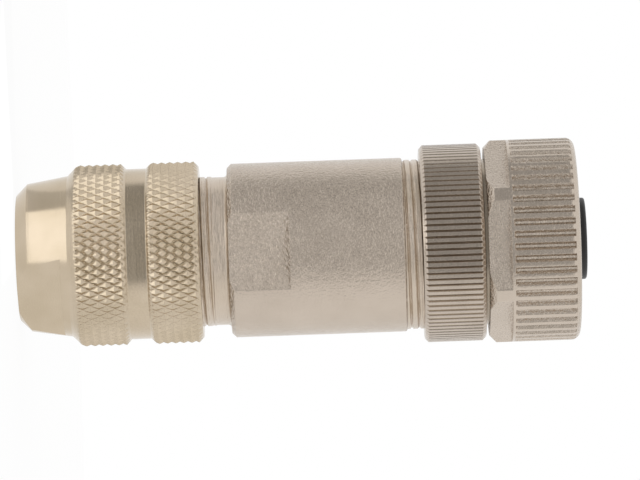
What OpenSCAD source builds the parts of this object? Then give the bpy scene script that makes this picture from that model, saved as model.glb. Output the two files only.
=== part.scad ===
// Field-wired M12 socket connector, shielded and straight, for a round cable.
// Z is the axis: the cable end stands on z = 0 and the mating face is at the top.
// All sizes are millimetres; diameters end in _d, lengths in _len, clearances in _play.

/* [Cable and gland] */
// Largest cable that the gland clamps
cable_d = 8; // [6.6:0.1:8.2]
// Clearance between that cable and the entry bore of the pressing screw
entry_play = 0.6; // [0.4:0.05:0.7]
// Length of the gland thread on the sleeve
gland_thread_len = 8.3; // [7.6:0.1:9.5]
// How far the pressing screw can still be tightened
gland_travel = 2.5; // [1.5:0.1:2.8]
// Wall of the sleeve between the gland thread and the bore for the pinch ring and the seal
gland_wall = 1.19; // [1.1:0.01:1.3]
// Pitch of the gland thread and of the ring thread
fine_pitch = 0.75; // [0.6:0.05:1]
// Depth of those threads
fine_depth = 0.28; // [0.2:0.02:0.34]

/* [Pressing screw] */
// Height of the chamfer round the end face
screw_end_chamfer = 1.1; // [0.7:0.05:1.3]
// Length of the turned cone
screw_cone_len = 4; // [3.4:0.1:4.6]
// How much the cone's radius grows over that length
screw_cone_rise = 0.65; // [0.4:0.05:0.9]
// How far the cone's large end lies under the groove between the knurls
screw_cone_step = 0.48; // [0.3:0.02:0.7]
// Diameter over the diamond knurls
band_d = 17.95; // [17.7:0.05:18.6]
// Length of the first knurled band
band_1_len = 4.5; // [3.6:0.05:5]
// Length of the second knurled band
band_2_len = 4.3; // [3.6:0.05:5]
// How far the knurls stand above the groove between them
band_height = 0.545; // [0.5:0.005:0.65]
// Wall between that groove and the bore over the gland thread
screw_wall = 0.98; // [0.8:0.01:1.1]
// Length of the groove between the bands
groove_len = 1.95; // [1.2:0.05:2.6]
// Chamfer at the open end of the screw
screw_lip_chamfer = 0.48; // [0.2:0.02:0.6]
// Number of diamonds round each band
band_starts = 62; // [48:1:70]
// Axial length of one diamond of the knurl
diamond_len = 1.6; // [1.2:0.1:2]
// Depth of the diamond knurl
diamond_depth = 0.38; // [0.25:0.01:0.45]
// Depth of the two spanner flats under the cone's large end
screw_flat_depth = 1.95; // [1.6:0.05:2.2]
// Length of the spanner flats from the end face
screw_flat_len = 4.4; // [3:0.1:4.8]
// Direction of the first flat, as an angle about Z
screw_flat_turn = -48; // [-180:1:180]

/* [Pinch ring, seal and shield ring] */
// Fingers of the pinch ring
pinch_fingers = 8; // [6:1:10]
// Width of the slots between the fingers
pinch_slot = 0.9; // [0.6:0.1:1.2]
// Depth of the closed collar of the pinch ring inside the sleeve
pinch_collar_len = 1.6; // [1.3:0.1:2]
// Width of the two keys that stop the pinch ring turning
pinch_key_w = 1.6; // [1.2:0.1:2.2]
// Height of those keys
pinch_key_h = 0.3; // [0.2:0.05:0.4]
// Length of the cable seal
seal_len = 3.5; // [3:0.1:4]
// Thickness of the thrust washer
washer_t = 0.5; // [0.4:0.05:0.8]
// Thickness of the shield ring's flange
shield_flange_t = 1; // [0.8:0.1:1.3]
// Length of the nose that carries the braid
shield_nose_len = 2; // [1.5:0.1:2.4]
// Wall of that nose
shield_nose_wall = 0.8; // [0.6:0.05:0.9]

/* [Housing sleeve] */
// Gland thread that stays in view behind the pressing screw
gland_thread_shown = 1.2; // [0.8:0.1:1.6]
// How far the plain neck lies under the gland thread
neck_step = 0.075; // [0.02:0.005:0.15]
// Length of the plain neck, with the fillet at its root
neck_len = 1.6; // [1.3:0.1:2]
// How far the sleeve's surface stands above its ring thread
sleeve_step = 0.22; // [0.1:0.02:0.4]
// Length of the full diameter
sleeve_body_len = 17.3; // [16:0.1:20]
// Depth of the two spanner flats of the sleeve
sleeve_flat_depth = 0.9; // [0.6:0.05:1.1]
// Length of those flats
sleeve_flat_len = 6; // [4:0.1:7]
// Direction of the first flat, as an angle about Z
sleeve_flat_turn = -89; // [-180:1:180]
// Fillet at the root of the neck
neck_fillet = 0.4; // [0.2:0.05:0.5]
// Chamfer of the shoulder edge
shoulder_chamfer = 0.42; // [0.2:0.02:0.6]
// Wall of the sleeve round the wiring chamber
chamber_wall = 1.7; // [1.5:0.05:1.9]

/* [Threaded ring] */
// Ring thread that stays in view behind the ring
ring_thread_shown = 1.7; // [1.6:0.1:2.2]
// Wall of the ring between its bore and the top of its knurl
ring_wall = 1.31; // [1.2:0.01:1.5]
// Length of the ring
ring_len = 6.05; // [5.6:0.05:7]
// Chamfer at both ends of the ring
ring_chamfer = 0.45; // [0.3:0.05:0.55]
// Ridges of the straight knurl
ring_ridges = 102; // [80:1:110]
// Depth of the straight knurl
ring_ridge_depth = 0.2; // [0.14:0.01:0.3]
// Share of each ridge's pitch that its groove takes up
ring_groove_share = 0.38; // [0.25:0.01:0.6]
// Thickness of the lip that pulls on the insert
ring_lip_t = 1.2; // [1:0.05:1.4]
// How far the ring can still be tightened
ring_travel = 1.5; // [1:0.1:1.5]

/* [Insert holder] */
// Wall of the sleeve between the ring thread and the bore for the holder's tail
tail_wall = 1.23; // [1.1:0.01:1.35]
// Length of the tail inside the sleeve
tail_len = 3.5; // [3.2:0.1:4.2]
// Width of the two keys that stop the insert turning
tail_key_w = 1.6; // [1.2:0.1:2.2]
// Height of those keys
tail_key_h = 0.45; // [0.3:0.05:0.5]
// Thickness of the flange under the ring's lip
holder_flange_t = 1.05; // [0.8:0.05:1.2]
// How far the ring's lip reaches in over that flange
holder_neck_step = 0.88; // [0.7:0.02:1]
// Depth of the neck that the snap ring runs on
swivel_step = 0.85; // [0.7:0.05:1]
// Thickness of the flange that holds the coupling nut
nut_flange_t = 1.4; // [1.2:0.05:1.6]
// Bore for the contact carrier
carrier_bore_d = 10.5; // [10.4:0.05:10.7]
// Thickness of the lip in front of the carrier's shoulder
holder_lip_t = 1; // [0.8:0.05:1.1]
// Cord of the O-ring between the tail and the sleeve
housing_cord_d = 0.7; // [0.6:0.05:0.75]
// Width of that O-ring's groove
housing_groove_len = 1; // [0.9:0.05:1.1]

/* [Coupling nut] */
// Diameter over the ribs, the largest of the part
nut_d = 20; // [19.4:0.1:20.8]
// How far the nut stands out past the threaded ring
nut_step = 0.25; // [0.1:0.05:0.5]
// Length of the nut
nut_len = 8.95; // [8.6:0.05:10]
// Gap between the threaded ring and the nut
nut_gap = 0.35; // [0.25:0.05:0.6]
// Depth of the hexagon's flats at the rear
nut_hex_depth = 1.05; // [0.8:0.05:1.2]
// Length of that hexagon
nut_hex_len = 2.2; // [1.8:0.1:2.6]
// Direction of one flat of the hexagon, as an angle about Z
nut_hex_turn = -87.6; // [-180:0.1:180]
// Plain rim between the hexagon and the grip
nut_rim_len = 0.28; // [0.15:0.01:0.5]
// Grooves round the grip
nut_grooves = 52; // [36:1:56]
// Depth of those grooves
nut_groove_depth = 0.4; // [0.2:0.02:0.46]
// Share of each groove's pitch that the groove takes up
nut_groove_share = 0.6; // [0.4:0.01:0.7]
// Chamfer at the rear edge
nut_rear_chamfer = 0.9; // [0.6:0.05:1]
// Chamfer at the front edge
nut_front_chamfer = 0.85; // [0.6:0.05:1]
// Nominal diameter of the coupling thread
coupling_d = 12; // [11.9:0.02:12.1]
// Pitch of the coupling thread
coupling_pitch = 1; // [0.9:0.05:1.1]
// Wall of the nut round the recess for the snap ring
snap_wall = 1.8; // [1.6:0.05:2]
// Depth of that recess
snap_recess_len = 0.95; // [0.8:0.05:1.1]
// Opening of the split in the snap ring
snap_split = 2; // [1:0.1:3]

/* [Contact carrier and contacts] */
// Diameter of the mating face
carrier_d = 8.1; // [8:0.01:8.15]
// How far the carrier stands out of the nut
carrier_proud = 0.87; // [0.3:0.05:1.2]
// Rounding of its front edge
carrier_round = 0.25; // [0.1:0.05:0.4]
// Length of the rear part inside the holder
carrier_rear_len = 6.3; // [5.6:0.1:7]
// Width of the coding keyway
keyway_w = 1.1; // [0.9:0.05:1.2]
// Depth of the coding keyway
keyway_depth = 0.8; // [0.6:0.05:0.9]
// Cord of the sealing ring at the root of the carrier
face_cord_d = 0.92; // [0.8:0.02:0.94]
// Diameter of the land that the sealing ring sits on
face_land_d = 8.8; // [8.7:0.02:8.84]
// Cord of the O-ring in the carrier's rear part
carrier_cord_d = 0.6; // [0.5:0.05:0.7]
// Contacts round the pitch circle
contacts = 4; // [4:1:4]
// Pitch circle of the contacts
contact_pcd = 5; // [4.9:0.05:5.1]
// Diameter of the mating pins
pin_d = 1; // [0.9:0.05:1.05]
// Diameter of the socket behind the face
socket_d = 1.7; // [1.5:0.05:1.8]
// Diameter of the rear barrel that takes the wire
barrel_d = 2.8; // [2.6:0.05:2.9]
// Length of that barrel
barrel_len = 7; // [6.4:0.1:7.4]
// Wire hole in the barrel
wire_d = 1.6; // [1.2:0.1:1.7]
// Depth of the wire hole
wire_hole_len = 5.5; // [4.5:0.1:6]
// Diameter of the terminal screws
terminal_screw_d = 1.8; // [1.6:0.05:1.9]
// Room between the terminal block and the wall of the wiring chamber
block_room = 0.6; // [0.5:0.05:0.8]
// Length of the terminal block behind the holder
block_len = 9; // [8.8:0.1:9.6]

/* [Hidden] */

round_fn = 96;
small_fn = 32;
over = 1;              // how far cutting shapes reach past what they cut

// Clearances between pieces
thread_play = 0.06;    // radial, between a thread and the plain bore that runs over it
slide_play = 0.1;      // radial, between pieces that slide in each other
stop_play = 0.15;      // axial, left between pieces when a thread is fully tightened
seat_play = 0.3;       // left between a cone or a shoulder and what comes to it
face_play = 0.05;      // axial, between faces that turn against each other
fit_play = 0.02;       // radial, between pieces that are pressed or pushed together
key_play = 0.1;        // each side of a key
pin_play = 0.12;       // radial, round a mating pin in the carrier's face
hole_play = 0.05;      // radial, round a terminal screw

// Radii outside, from the nut and the knurled bands inwards
nut_r = nut_d / 2;
ring_r = nut_r - nut_step;
ring_bore_r = ring_r - ring_wall;
ring_thread_r = ring_bore_r - thread_play;
sleeve_r = ring_thread_r + sleeve_step;
band_r = band_d / 2;
groove_r = band_r - band_height;
screw_bore_r = groove_r - screw_wall;
gland_thread_r = screw_bore_r - thread_play;
neck_r = gland_thread_r - neck_step;
cone_r = groove_r - screw_cone_step;
screw_end_r = cone_r - screw_cone_rise - screw_end_chamfer;

// Stations along the axis, outside
band_edge_r = band_r - diamond_depth / 3;
band_slope = band_edge_r - groove_r;
z_cone = screw_end_chamfer + screw_cone_len;
z_band_1 = z_cone + band_edge_r - cone_r;
z_groove = z_band_1 + band_1_len + band_slope;
z_band_2 = z_groove + groove_len + band_slope;
z_screw_end = z_band_2 + band_2_len + screw_lip_chamfer;
z_neck = z_screw_end + gland_thread_shown;
z_shoulder = z_neck + neck_len;
z_ring_thread = z_shoulder + sleeve_body_len;
z_ring = z_ring_thread + ring_thread_shown;
z_ring_end = z_ring + ring_len;
z_nut = z_ring_end + nut_gap;
z_grip = z_nut + nut_hex_len;
z_nut_end = z_nut + nut_len;
z_face = z_nut_end + carrier_proud;

// Gland, inside
seat_land_len = 0.7;   // plain stretch behind the cone of the pressing screw
seat_slope = 1.15;     // length of that cone over its height
finger_play = 0.5;     // axial, from the start of the cone to the tips of the pinch ring's fingers
gland_bore_r = gland_thread_r - gland_wall;
z_sleeve = z_neck - gland_thread_len;
z_screw_bore = z_sleeve - gland_travel - seat_play - stop_play;
z_seat_cone_end = z_screw_bore - seat_land_len;
entry_r = (cable_d + entry_play) / 2;
seat_r = gland_bore_r + slide_play;
seat_cone_len = (seat_r - entry_r) * seat_slope;
z_seat_cone = z_seat_cone_end - seat_cone_len;
passage_r = cable_d / 2 + fit_play;
pinch_r = gland_bore_r - slide_play;
z_pinch = z_seat_cone + finger_play;
z_pinch_end = z_sleeve + pinch_collar_len;
z_seal_end = z_pinch_end + seal_len;
z_washer_end = z_seal_end + washer_t;
z_shield_flange_end = z_washer_end + shield_flange_t;
shield_nose_r = passage_r + shield_nose_wall;
shield_nose_chamfer = 0.3;
z_braid_seat = z_shield_flange_end + gland_travel + seat_play;
z_chamber = z_braid_seat + shield_nose_len + seat_play;
braid_seat_r = shield_nose_r + seat_play;
chamber_r = sleeve_r - chamber_wall;

// Insert, inside
tail_key_len = 1.2;
swivel_float = 0.25;   // axial, between the snap ring and the flange that it runs against
face_land_len = 1.4;
block_recess = 0.8;    // from the rear of the terminal block to the barrels
block_chamfer = 0.4;
socket_recess = 0.5;   // from the mating face to the sockets
screw_place = 3;       // from the rear of the barrels to the terminal screws
z_holder_flange_end = z_ring_end - ring_lip_t - face_play;
z_holder_flange = z_holder_flange_end - holder_flange_t;
z_sleeve_end = z_holder_flange - ring_travel - stop_play;
z_tail = z_sleeve_end - tail_len;
tail_bore_r = ring_thread_r - tail_wall;
tail_r = tail_bore_r - slide_play;
z_tail_bore = z_tail - ring_travel - seat_play;
z_housing_groove = z_tail + tail_key_len + 2 * slide_play;
housing_groove_r = tail_bore_r - housing_cord_d - slide_play;
holder_flange_r = ring_thread_r - 2 * slide_play;
holder_neck_r = holder_flange_r - holder_neck_step;
swivel_r = holder_neck_r - swivel_step;
z_swivel = z_ring_end + face_play / 2;
z_snap = z_ring_end + face_play + fit_play;
z_snap_end = z_nut + snap_recess_len;
snap_recess_r = nut_r - snap_wall;
z_nut_flange = z_snap_end + swivel_float;
z_nut_flange_end = z_nut_flange + nut_flange_t;
z_coupling = z_nut_flange_end + seat_play;
nut_cavity_r = holder_neck_r + 2 * slide_play;
coupling_minor_r = (coupling_d - 1.0825 * coupling_pitch) / 2;   // minor diameter of a metric thread
coupling_lead = 0.75 * coupling_pitch;
z_carrier_shoulder = z_nut_flange_end - holder_lip_t;
z_carrier = z_carrier_shoulder - carrier_rear_len;
carrier_rear_r = carrier_bore_d / 2 - slide_play / 2;
carrier_groove_len = 0.9;
carrier_groove_place = 1.2;   // from that groove to the carrier's shoulder
carrier_groove_r = carrier_bore_d / 2 - carrier_cord_d - 2 * fit_play;
z_carrier_groove = z_carrier_shoulder - carrier_groove_place - carrier_groove_len;
face_land_r = face_land_d / 2;
z_face_land_end = z_nut_flange_end + face_land_len;
block_r = chamber_r - block_room;
z_block = z_tail - block_len;
z_barrel = z_block + block_recess;
z_barrel_end = z_barrel + barrel_len;
z_socket_end = z_face - socket_recess;
z_terminal_screw = z_barrel + screw_place;
stem_r = socket_d / 2;
barrel_r = barrel_d / 2;
contact_r = contact_pcd / 2;
pin_hole_r = pin_d / 2 + pin_play;
terminal_screw_r = terminal_screw_d / 2;

// Points of a circular arc in the plane of a profile
function arc(r, z, radius, from, to, steps = 6) =
    [for (k = [0:steps]) let (a = from + (to - from) * k / steps) [r + radius * cos(a), z + radius * sin(a)]];

// Outline of a fine thread, as rings of the thread's own pitch with flat crests and roots
function thread_rings(r, z_from, z_to) =
    let (turns = floor((z_to - z_from - fit_play) / fine_pitch), quarter = fine_pitch / 4,
        slack = (z_to - z_from - turns * fine_pitch) / 2)
    [for (i = [0:turns - 1]) for (q = [[0, 0], [1, fine_depth], [2, fine_depth], [3, 0]])
        [r - q[1], z_from + slack + i * fine_pitch + q[0] * quarter]];

module turned(points) {
    rotate_extrude($fn = round_fn) polygon(points);
}

module bore(r, from, to) {
    translate([0, 0, from]) cylinder(r = r, h = to - from, $fn = round_fn);
}

// Everything outside two parallel flats that lie r from the axis, to be cut away
module beyond_flats(r, from, to, turn) {
    rotate(turn) for (side = [0, 180]) rotate(side)
        translate([r, -band_d, from]) cube([band_d, 2 * band_d, to - from]);
}

// A key or a keyway that crosses the axis on the X side
module cross_key(r, w, from, to) {
    translate([-r, -w / 2, from]) cube([2 * r, w, to - from]);
}

// O-ring of cord d on a land of radius r, with its middle at z
module o_ring(r, d, z) {
    translate([0, 0, z]) rotate_extrude($fn = round_fn) translate([r + fit_play + d / 2, 0])
        circle(d = d, $fn = small_fn);
}

// Diamond knurl: crossed grooves leave four-sided pyramids whose corners lie on the root
function knurl_points(rows, z, len) =
    let (steps = 2 * band_starts, inner_r = groove_r - 2 * slide_play)
    concat(
        [for (j = [0:rows]) for (i = [0:steps - 1])
            let (r = (i + j) % 2 == 0 ? band_r - diamond_depth : band_r, a = 360 * i / steps)
            [r * cos(a), r * sin(a), z + len * j / rows]],
        [for (j = [0, 1]) for (i = [0:steps - 1]) let (a = 360 * i / steps)
            [inner_r * cos(a), inner_r * sin(a), z + len * j]]);

function knurl_faces(rows) = let (steps = 2 * band_starts, inner = (rows + 1) * steps, top = rows * steps)
    concat(
        [for (j = [0:rows - 1]) for (i = [0:steps - 1]) for (half = [0, 1])
            let (k = (i + 1) % steps, a = j * steps + i, b = j * steps + k, c = a + steps, d = b + steps)
            (i + j) % 2 == 0 ? (half == 0 ? [a, d, b] : [a, c, d]) : (half == 0 ? [a, c, b] : [b, c, d])],
        [for (i = [0:steps - 1]) for (half = [0, 1])
            let (k = (i + 1) % steps, a = inner + i, b = inner + k, c = a + steps, d = b + steps)
            half == 0 ? [a, b, d] : [a, d, c]],
        [for (i = [0:steps - 1]) for (half = [0, 1])
            let (k = (i + 1) % steps)
            half == 0 ? [i, k, inner + k] : [i, inner + k, inner + i]],
        [for (i = [0:steps - 1]) for (half = [0, 1])
            let (k = (i + 1) % steps, upper = inner + steps)
            half == 0 ? [top + i, upper + k, top + k] : [top + i, upper + i, upper + k]]);

module diamond_band(z, len) {
    rows = round(2 * len / diamond_len);
    polyhedron(knurl_points(rows, z, len), knurl_faces(rows));
}

// Pressing screw: turned from bar, knurled in two bands, with two spanner flats at the cable end
module pressing_screw() {
    color("#cbbf9c") difference() {
        union() {
            turned([[0, 0], [screw_end_r, 0], [screw_end_r + screw_end_chamfer, screw_end_chamfer],
                [cone_r, z_cone], [band_edge_r, z_band_1], [groove_r, z_band_1],
                [groove_r, z_groove - band_slope], [band_edge_r, z_groove - band_slope],
                [groove_r, z_groove], [groove_r, z_groove + groove_len], [band_edge_r, z_band_2],
                [groove_r, z_band_2], [groove_r, z_band_2 + band_2_len], [band_edge_r, z_band_2 + band_2_len],
                [band_edge_r - screw_lip_chamfer, z_screw_end], [0, z_screw_end]]);
            diamond_band(z_band_1, band_1_len);
            diamond_band(z_band_2, band_2_len);
        }
        beyond_flats(cone_r - screw_flat_depth, -over, screw_flat_len, screw_flat_turn);
        turned([[0, -over], [entry_r + screw_lip_chamfer + over, -over], [entry_r, screw_lip_chamfer],
            [entry_r, z_seat_cone], [seat_r, z_seat_cone_end], [seat_r, z_screw_bore],
            [screw_bore_r, z_screw_bore], [screw_bore_r, z_screw_end + over],
            [0, z_screw_end + over]]);
    }
}

// Pinch ring: a plastic collar whose fingers the cone of the pressing screw closes on the cable
module pinch_ring() {
    tip_r = entry_r + (z_pinch - z_seat_cone) * (seat_r - entry_r) / seat_cone_len - slide_play * 1.5;
    color("#3b3d40") difference() {
        union() {
            turned([[passage_r, z_pinch], [tip_r, z_pinch], [pinch_r, z_seat_cone_end],
                [pinch_r, z_pinch_end], [passage_r, z_pinch_end]]);
            intersection() {
                turned([[pinch_r - over, z_sleeve + seat_play], [pinch_r + pinch_key_h, z_sleeve + seat_play],
                    [pinch_r + pinch_key_h, z_pinch_end], [pinch_r - over, z_pinch_end]]);
                cross_key(2 * gland_bore_r, pinch_key_w, z_sleeve, z_pinch_end + over);
            }
        }
        for (i = [0:pinch_fingers - 1]) rotate(360 * (i + 0.5) / pinch_fingers)
            translate([0, -pinch_slot / 2, z_pinch - over])
                cube([2 * gland_bore_r, pinch_slot, z_sleeve - z_pinch + over - seat_play]);
    }
}

// Cable seal: a plain rubber bush that is squeezed on to the cable's sheath
module cable_seal() {
    color("#22252b") difference() {
        bore(pinch_r, z_pinch_end, z_seal_end);
        bore(passage_r, z_pinch_end - over, z_seal_end + over);
    }
}

// Thrust washer: keeps the seal from turning with the shield ring
module thrust_washer() {
    color("#b9bcc0") difference() {
        bore(pinch_r, z_seal_end, z_washer_end);
        bore(passage_r, z_seal_end - over, z_washer_end + over);
    }
}

// Shield ring: the cable's braid is folded back over its nose
module shield_ring() {
    z_nose_end = z_shield_flange_end + shield_nose_len;
    color("#bdb8ae") turned([[passage_r, z_washer_end], [pinch_r, z_washer_end],
        [pinch_r, z_shield_flange_end], [shield_nose_r, z_shield_flange_end],
        [shield_nose_r, z_nose_end - shield_nose_chamfer],
        [shield_nose_r - shield_nose_chamfer, z_nose_end], [passage_r, z_nose_end]]);
}

// Housing sleeve: a plated casting with a thread at each end and two spanner flats
module housing_sleeve() {
    edge = 0.12;
    lead = 0.25;
    color("#b7b0a5") difference() {
        turned(concat(
            [[0, z_sleeve], [gland_thread_r - fine_depth, z_sleeve], [gland_thread_r, z_sleeve + fine_depth]],
            thread_rings(gland_thread_r, z_sleeve + fine_depth, z_neck),
            [[gland_thread_r, z_neck], [neck_r, z_neck + neck_step]],
            arc(neck_r + neck_fillet, z_shoulder - neck_fillet, neck_fillet, 180, 90),
            [[sleeve_r - shoulder_chamfer, z_shoulder], [sleeve_r, z_shoulder + shoulder_chamfer],
                [sleeve_r, z_ring_thread - edge], [sleeve_r - edge, z_ring_thread],
                [ring_thread_r, z_ring_thread]],
            thread_rings(ring_thread_r, z_ring_thread, z_sleeve_end - lead),
            [[ring_thread_r, z_sleeve_end - lead], [ring_thread_r - lead, z_sleeve_end], [0, z_sleeve_end]]));
        beyond_flats(sleeve_r - sleeve_flat_depth, z_shoulder - fit_play, z_shoulder + sleeve_flat_len,
            sleeve_flat_turn);
        turned([[0, z_sleeve - over], [gland_bore_r, z_sleeve - over], [gland_bore_r, z_braid_seat],
            [braid_seat_r, z_braid_seat], [braid_seat_r, z_chamber],
            [chamber_r, z_chamber + chamber_r - braid_seat_r], [chamber_r, z_tail_bore],
            [tail_bore_r, z_tail_bore], [tail_bore_r, z_sleeve_end + over], [0, z_sleeve_end + over]]);
        intersection() {
            bore(pinch_r + pinch_key_h + key_play, z_sleeve - over, z_pinch_end + gland_travel + seat_play);
            cross_key(2 * gland_bore_r, pinch_key_w + 2 * key_play, z_sleeve - over, z_sleeve_end);
        }
        intersection() {
            bore(tail_r + tail_key_h + key_play, z_tail_bore, z_sleeve_end + over);
            cross_key(2 * tail_bore_r, tail_key_w + 2 * key_play, z_tail_bore, z_sleeve_end + over);
        }
    }
}

// O-ring on the tail of the insert holder
module housing_o_ring() {
    color("#1c1c1e") o_ring(housing_groove_r, housing_cord_d, z_housing_groove + housing_groove_len / 2);
}

// Threaded ring: knurled, turns freely on the holder and screws it to the sleeve
module threaded_ring() {
    root_r = ring_r - ring_ridge_depth;
    end_r = ring_r - ring_ridge_depth / 2;
    half_groove = ring_groove_share / 2;
    color("#a19b90") difference() {
        union() {
            translate([0, 0, z_ring + ring_chamfer]) linear_extrude(ring_len - 2 * ring_chamfer)
                polygon([for (i = [0:ring_ridges - 1])
                    for (q = [[0, root_r], [half_groove, ring_r], [1 - half_groove, ring_r]])
                    let (a = 360 * (i + q[0]) / ring_ridges) [q[1] * cos(a), q[1] * sin(a)]]);
            turned([[0, z_ring], [end_r - ring_chamfer, z_ring], [end_r, z_ring + ring_chamfer],
                [0, z_ring + ring_chamfer]]);
            turned([[0, z_ring_end - ring_chamfer], [end_r, z_ring_end - ring_chamfer],
                [end_r - ring_chamfer, z_ring_end], [0, z_ring_end]]);
        }
        turned([[0, z_ring - over], [ring_bore_r, z_ring - over], [ring_bore_r, z_ring_end - ring_lip_t],
            [holder_neck_r + slide_play, z_ring_end - ring_lip_t],
            [holder_neck_r + slide_play, z_ring_end + over], [0, z_ring_end + over]]);
    }
}

// Insert holder: the metal carrier of the insert, keyed to the sleeve and flanged for ring and nut
module insert_holder() {
    z_groove_end = z_housing_groove + housing_groove_len;
    color("#b3ada2") difference() {
        union() {
            turned([[0, z_tail], [tail_r, z_tail], [tail_r, z_housing_groove],
                [housing_groove_r, z_housing_groove], [housing_groove_r, z_groove_end],
                [tail_r, z_groove_end], [tail_r, z_holder_flange], [holder_flange_r, z_holder_flange],
                [holder_flange_r, z_holder_flange_end], [holder_neck_r, z_holder_flange_end],
                [holder_neck_r, z_swivel], [swivel_r, z_swivel], [swivel_r, z_nut_flange],
                [holder_neck_r, z_nut_flange], [holder_neck_r, z_nut_flange_end], [0, z_nut_flange_end]]);
            intersection() {
                bore(tail_r + tail_key_h, z_tail, z_tail + tail_key_len);
                cross_key(2 * tail_bore_r, tail_key_w, z_tail, z_tail + tail_key_len);
            }
        }
        bore(carrier_bore_d / 2, z_tail - over, z_carrier_shoulder);
        bore(face_land_r + slide_play / 2, z_carrier_shoulder - over, z_nut_flange_end + over);
    }
}

// Snap ring: a split ring in the rear of the nut, which keeps the nut on the holder
module snap_ring() {
    color("#8d7a5c") difference() {
        bore(snap_recess_r - fit_play, z_snap, z_snap_end);
        bore(swivel_r + slide_play, z_snap - over, z_snap_end + over);
        translate([-snap_split / 2, 0, z_snap - over])
            cube([snap_split, snap_recess_r + over, z_snap_end - z_snap + 2 * over]);
    }
}

// Coupling nut: hexagon at the rear, grooved grip, and the thread that pulls the plugs together
module coupling_nut() {
    land_r = nut_r - thread_play;
    crest = (1 - nut_groove_share) / 2;
    shoulder = crest + 0.1 * nut_groove_share;
    floor_from = crest + 0.3 * nut_groove_share;
    z_grooves = z_grip + nut_rim_len;
    color("#aaa59a") difference() {
        union() {
            intersection() {
                turned([[0, z_nut], [land_r - nut_rear_chamfer, z_nut], [land_r, z_nut + nut_rear_chamfer],
                    [land_r, z_grip], [0, z_grip]]);
                rotate(nut_hex_turn + 30) translate([0, 0, z_nut - over])
                    cylinder(r = (nut_r - nut_hex_depth) * 2 / sqrt(3), h = nut_hex_len + 2 * over, $fn = 6);
            }
            bore(land_r, z_grip, z_grooves);
            intersection() {
                translate([0, 0, z_grooves]) linear_extrude(z_nut_end - z_grooves)
                    polygon([for (i = [0:nut_grooves - 1])
                        for (q = [[-crest, 0], [crest, 0], [shoulder, 0.55], [floor_from, 1],
                            [1 - floor_from, 1], [1 - shoulder, 0.55]])
                        let (a = 360 * (i + q[0]) / nut_grooves, r = nut_r - q[1] * nut_groove_depth)
                        [r * cos(a), r * sin(a)]]);
                turned([[0, z_grooves - over], [nut_r + over, z_grooves - over],
                    [nut_r + over, z_nut_end - nut_front_chamfer - over],
                    [nut_r - nut_front_chamfer, z_nut_end], [0, z_nut_end]]);
            }
        }
        turned([[0, z_nut - over], [snap_recess_r, z_nut - over], [snap_recess_r, z_snap_end],
            [nut_cavity_r, z_snap_end], [nut_cavity_r, z_coupling], [coupling_minor_r, z_coupling],
            [coupling_minor_r, z_nut_end - coupling_lead],
            [coupling_minor_r + coupling_lead + over, z_nut_end + over], [0, z_nut_end + over]]);
    }
}

// Face seal: the sealing ring that the mating plug presses against the holder
module face_seal() {
    color("#242424") o_ring(face_land_r, face_cord_d, z_nut_flange_end + fit_play + face_cord_d / 2);
}

// Carrier seal: the O-ring between the carrier and its holder
module carrier_seal() {
    color("#242424") o_ring(carrier_groove_r, carrier_cord_d, z_carrier_groove + carrier_groove_len / 2);
}

// Places something at every contact of the ring, the keyway lying half-way between two of them
module at_contact(i) {
    rotate(45 + 360 * i / contacts) translate([contact_r, 0, 0]) children();
}

// Contact carrier: the black insulator with the mating face, its keyway and the socket holes
module contact_carrier() {
    front_r = carrier_d / 2;
    z_groove_end = z_carrier_groove + carrier_groove_len;
    funnel = 0.25;
    color("#1b1b1c") difference() {
        turned(concat(
            [[0, z_carrier], [carrier_rear_r, z_carrier], [carrier_rear_r, z_carrier_groove],
                [carrier_groove_r, z_carrier_groove], [carrier_groove_r, z_groove_end],
                [carrier_rear_r, z_groove_end], [carrier_rear_r, z_carrier_shoulder],
                [face_land_r, z_carrier_shoulder], [face_land_r, z_face_land_end],
                [front_r, z_face_land_end]],
            arc(front_r - carrier_round, z_face - carrier_round, carrier_round, 0, 90),
            [[0, z_face]]));
        rotate(180) translate([front_r - keyway_depth, -keyway_w / 2, z_face_land_end])
            cube([over, keyway_w, z_face - z_face_land_end + over]);
        for (i = [0:contacts - 1]) at_contact(i) {
            translate([0, 0, z_carrier - over])
                cylinder(r = stem_r + fit_play, h = z_socket_end + fit_play - z_carrier + over,
                    $fn = small_fn);
            cylinder(r = pin_hole_r, h = z_face + over, $fn = small_fn);
            translate([0, 0, z_face - funnel]) cylinder(r1 = pin_hole_r - fit_play,
                r2 = pin_hole_r - fit_play + 2 * funnel, h = 2 * funnel, $fn = small_fn);
        }
    }
}

// Terminal block: the rear insulator, with a wire funnel and a screw hole for each contact
module terminal_block() {
    color("#26282b") difference() {
        turned([[0, z_block], [block_r - block_chamfer, z_block], [block_r, z_block + block_chamfer],
            [block_r, z_tail], [carrier_rear_r, z_tail], [carrier_rear_r, z_carrier], [0, z_carrier]]);
        for (i = [0:contacts - 1]) at_contact(i) {
            translate([0, 0, z_block - over])
                cylinder(r = barrel_r + fit_play, h = z_barrel_end + fit_play - z_block + over,
                    $fn = small_fn);
            translate([0, 0, z_block - over])
                cylinder(r = stem_r + fit_play, h = z_carrier - z_block + 2 * over, $fn = small_fn);
            translate([0, 0, z_terminal_screw]) rotate([0, 90, 0])
                cylinder(r = terminal_screw_r + hole_play, h = 2 * block_r, $fn = small_fn);
        }
    }
}

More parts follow.
